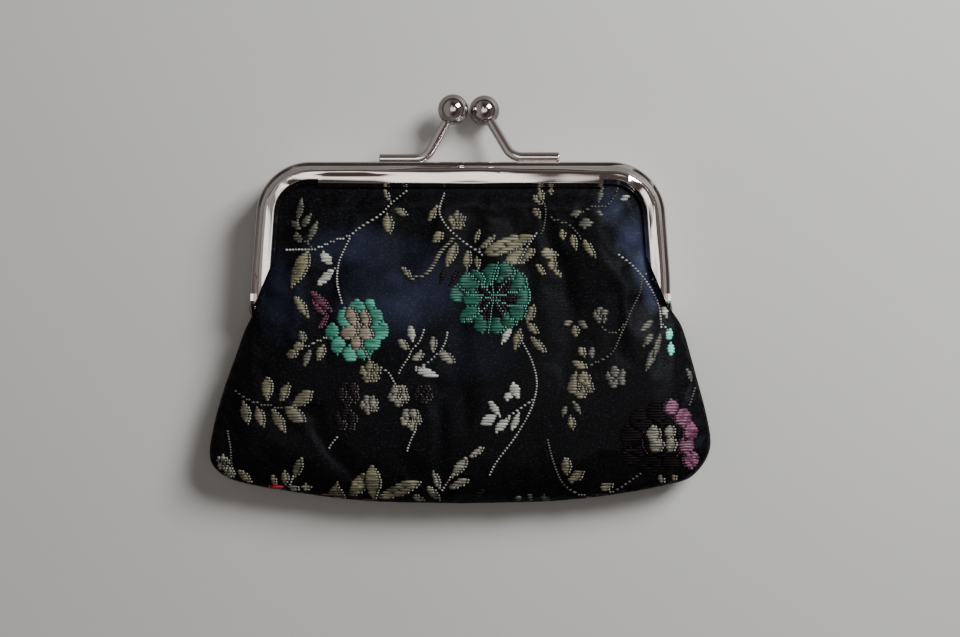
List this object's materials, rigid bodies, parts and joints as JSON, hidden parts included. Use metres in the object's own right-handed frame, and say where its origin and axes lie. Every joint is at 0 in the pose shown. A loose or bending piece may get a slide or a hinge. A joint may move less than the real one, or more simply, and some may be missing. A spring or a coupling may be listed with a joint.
{
  "type": "coin purse",
  "caption": "Small lined coin purse of floral brocade on a hinged metal channel frame that snaps shut with a pair of crossing clasp balls.",
  "frame": {"origin": "centre of the bounding box in X and Y, on the plane the purse's back rests on", "axes": "+X across the purse to its right seen from the front, +Y from the bag's bottom towards the clasp, +Z out of the purse's front"},
  "size_m": [0.1024, 0.0835, 0.0116],
  "materials": {
    "nickel_frame": "bright nickel plate over stamped sheet",
    "nickel_rivet": "bright nickel plate",
    "nickel_clasp": "polished nickel plate",
    "solder": "plated solder, slightly dull",
    "paper_cord": "twisted paper",
    "dry_glue": "dry glue",
    "brocade": "satin brocade with a woven floral pattern",
    "interlining": "soft non-woven wadding",
    "lining": "plain taffeta",
    "navy_thread": "spun sewing thread",
    "red_thread": "spun sewing thread"
  },
  "bodies": {
    "back_half": {"back_frame": "nickel_frame", "left_hinge_rivet": "nickel_rivet", "right_hinge_rivet": "nickel_rivet", "back_clasp_arm": "nickel_clasp", "back_clasp_ball": "nickel_clasp", "back_clasp_solder": "solder", "back_paper_cord": "paper_cord", "back_channel_glue": "dry_glue", "front_brocade_fold": "brocade", "front_brocade_lower": "brocade", "back_brocade": "brocade", "front_interlining_fold": "interlining", "front_interlining_lower": "interlining", "back_interlining": "interlining", "front_lining_fold": "lining", "front_lining_lower": "lining", "back_lining": "lining", "outer_seam_thread": "navy_thread", "lining_seam_thread": "red_thread"},
    "front_half": {"front_frame": "nickel_frame", "front_clasp_arm": "nickel_clasp", "front_clasp_ball": "nickel_clasp", "front_clasp_solder": "solder", "front_paper_cord": "paper_cord", "front_channel_glue": "dry_glue", "front_brocade_upper": "brocade", "front_interlining_upper": "interlining", "front_lining_upper": "lining"}
  },
  "joints": [
    {"name": "frame_hinge", "type": "hinge", "parent": "back_half", "child": "front_half", "pos_m": [0, -0.002, 0.00535], "axis": [1, 0, 0], "range_deg": [0, 90], "deforming": ["front_brocade_fold", "front_interlining_fold", "front_lining_fold"]}
  ]
}
